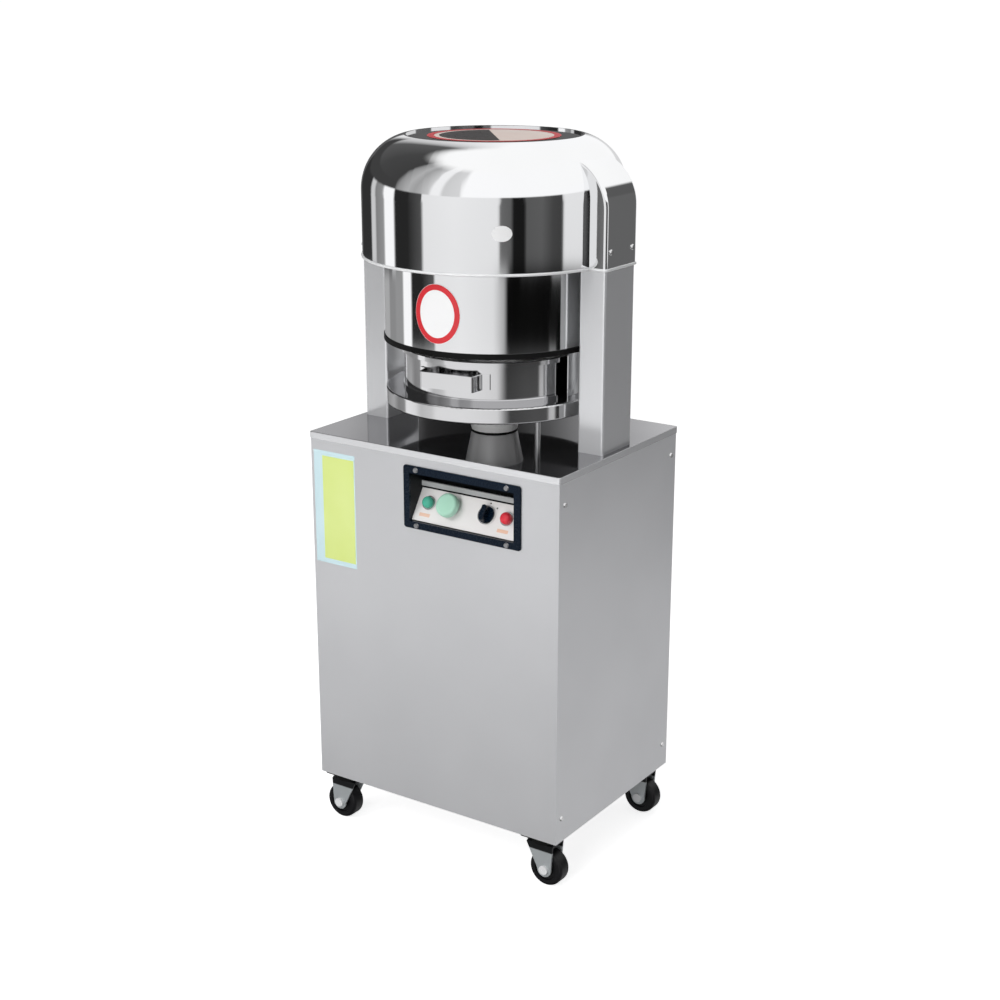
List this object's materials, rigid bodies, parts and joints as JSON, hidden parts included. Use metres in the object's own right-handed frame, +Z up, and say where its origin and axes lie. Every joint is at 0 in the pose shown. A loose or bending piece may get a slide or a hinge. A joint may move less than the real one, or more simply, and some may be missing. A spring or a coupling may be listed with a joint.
{
  "type": "dough divider",
  "caption": "Floor-standing electric dough divider: steel cabinet on casters with a recessed control panel, a lifting platen with a round pan, and a domed dividing head on uprights.",
  "frame": {"origin": "on the floor under the centre of the head", "axes": "+Z up, front of the machine faces -Y, +X to its right"},
  "size_m": [0.5302, 0.458, 1.284],
  "materials": {
    "satin_steel": "satin brushed stainless steel",
    "polished_steel": "mirror-polished stainless steel",
    "plain_steel": "machined steel",
    "screw_steel": "bright steel",
    "segment_alloy": "turned alloy",
    "motor_paint": "grey-blue paint",
    "iron": "painted cast iron",
    "bronze": "bearing bronze",
    "black_rubber": "black rubber",
    "black_plastic": "black plastic",
    "white_plastic": "white plate",
    "box_paint": "light grey paint",
    "mint_plastic": "mint green plastic",
    "green_plastic": "green plastic",
    "red_plastic": "red plastic",
    "zinc": "zinc-plated steel",
    "wheel_rubber": "black rubber"
  },
  "bodies": {
    "machine": {"base_plate": "plain_steel", "inner_frame": "plain_steel", "top_plate": "satin_steel", "front_panel": "satin_steel", "rear_panel": "satin_steel", "left_panel": "satin_steel", "right_panel": "satin_steel", "panel_screws": "screw_steel", "left_upright": "satin_steel", "right_upright": "satin_steel", "head_cover": "polished_steel", "cover_screws": "screw_steel", "cover_floor": "polished_steel", "head_beam": "plain_steel", "skirt": "polished_steel", "skirt_trim": "black_rubber", "knife_grid": "plain_steel", "knife_spindle": "plain_steel", "press_spring": "plain_steel", "gland_ring": "black_rubber", "ram_guide": "iron", "ram_bush": "bronze", "worm_gearbox": "iron", "drive_motor": "motor_paint", "motor_fan_cover": "motor_paint", "gearbox_stand": "plain_steel", "bearing_block": "iron", "electrical_box": "box_paint", "cable_gland": "black_plastic", "control_tray": "black_plastic", "control_bezel": "black_plastic", "bezel_screws": "screw_steel", "control_plate": "white_plastic", "button_collars": "screw_steel", "caster_plates": "zinc"},
    "lift": {"platen": "polished_steel", "platen_hub": "segment_alloy", "ram_shaft": "plain_steel", "guide_rod": "plain_steel", "back_stop": "polished_steel", "dough_pan": "polished_steel", "pan_handle": "polished_steel", "ram_fork": "plain_steel"},
    "roller": {"follower_roller": "plain_steel"},
    "cam": {"cam_shaft": "plain_steel", "lift_cam": "plain_steel"},
    "press": {"press_segments": "segment_alloy", "press_carrier": "plain_steel"},
    "green_push": {"green_button": "green_plastic"},
    "red_push": {"red_button": "red_plastic"},
    "mushroom_push": {"mushroom_button": "mint_plastic"},
    "selector": {"selector_knob": "black_plastic"},
    "front_left_swivel": {"front_left_fork": "zinc"},
    "front_left_roll": {"front_left_wheel": "wheel_rubber"},
    "front_right_swivel": {"front_right_fork": "zinc"},
    "front_right_roll": {"front_right_wheel": "wheel_rubber"},
    "rear_left_swivel": {"rear_left_fork": "zinc"},
    "rear_left_roll": {"rear_left_wheel": "wheel_rubber"},
    "rear_right_swivel": {"rear_right_fork": "zinc"},
    "rear_right_roll": {"rear_right_wheel": "wheel_rubber"}
  },
  "joints": [
    {"name": "platen_lift", "type": "slide", "parent": "machine", "child": "lift", "axis": [0, 0, 1], "range_m": [0, 0.075]},
    {"name": "roller_spin", "type": "hinge", "parent": "lift", "child": "roller", "pos_m": [0, 0, 0.45], "axis": [1, 0, 0], "continuous": true},
    {"name": "cam_turn", "type": "hinge", "parent": "machine", "child": "cam", "pos_m": [0, 0, 0.37], "axis": [1, 0, 0], "range_deg": [0, 181]},
    {"name": "press_rise", "type": "slide", "parent": "machine", "child": "press", "axis": [0, 0, 1], "range_m": [0, 0.028], "stiffness_N_per_m": 1500, "deforming": ["press_spring"]},
    {"name": "green_press", "type": "slide", "parent": "machine", "child": "green_push", "axis": [0, 0.8387, -0.5446], "range_m": [0, 0.004], "stiffness_N_per_m": 400},
    {"name": "red_press", "type": "slide", "parent": "machine", "child": "red_push", "axis": [0, 0.8387, -0.5446], "range_m": [0, 0.004], "stiffness_N_per_m": 400},
    {"name": "mushroom_press", "type": "slide", "parent": "machine", "child": "mushroom_push", "axis": [0, 0.8387, -0.5446], "range_m": [0, 0.005], "stiffness_N_per_m": 600},
    {"name": "selector_turn", "type": "hinge", "parent": "machine", "child": "selector", "pos_m": [0.105, -0.17618, 0.6651], "axis": [0, -0.8387, 0.5446], "range_deg": [-45, 45]},
    {"name": "front_left_swivel_turn", "type": "hinge", "parent": "machine", "child": "front_left_swivel", "pos_m": [-0.221, -0.167, 0.085], "axis": [0, 0, 1], "continuous": true},
    {"name": "front_left_wheel_spin", "type": "hinge", "parent": "front_left_swivel", "child": "front_left_roll", "pos_m": [-0.231, -0.167, 0.033], "axis": [0, 1, 0], "continuous": true},
    {"name": "front_right_swivel_turn", "type": "hinge", "parent": "machine", "child": "front_right_swivel", "pos_m": [0.221, -0.167, 0.085], "axis": [0, 0, 1], "continuous": true},
    {"name": "front_right_wheel_spin", "type": "hinge", "parent": "front_right_swivel", "child": "front_right_roll", "pos_m": [0.231, -0.167, 0.033], "axis": [0, 1, 0], "continuous": true},
    {"name": "rear_left_swivel_turn", "type": "hinge", "parent": "machine", "child": "rear_left_swivel", "pos_m": [-0.221, 0.167, 0.085], "axis": [0, 0, 1], "continuous": true},
    {"name": "rear_left_wheel_spin", "type": "hinge", "parent": "rear_left_swivel", "child": "rear_left_roll", "pos_m": [-0.231, 0.167, 0.033], "axis": [0, 1, 0], "continuous": true},
    {"name": "rear_right_swivel_turn", "type": "hinge", "parent": "machine", "child": "rear_right_swivel", "pos_m": [0.221, 0.167, 0.085], "axis": [0, 0, 1], "continuous": true},
    {"name": "rear_right_wheel_spin", "type": "hinge", "parent": "rear_right_swivel", "child": "rear_right_roll", "pos_m": [0.231, 0.167, 0.033], "axis": [0, 1, 0], "continuous": true}
  ],
  "couplings": [
    {"joint": "cam_turn", "follows": "platen_lift", "rad_per_m": 41.888}
  ]
}
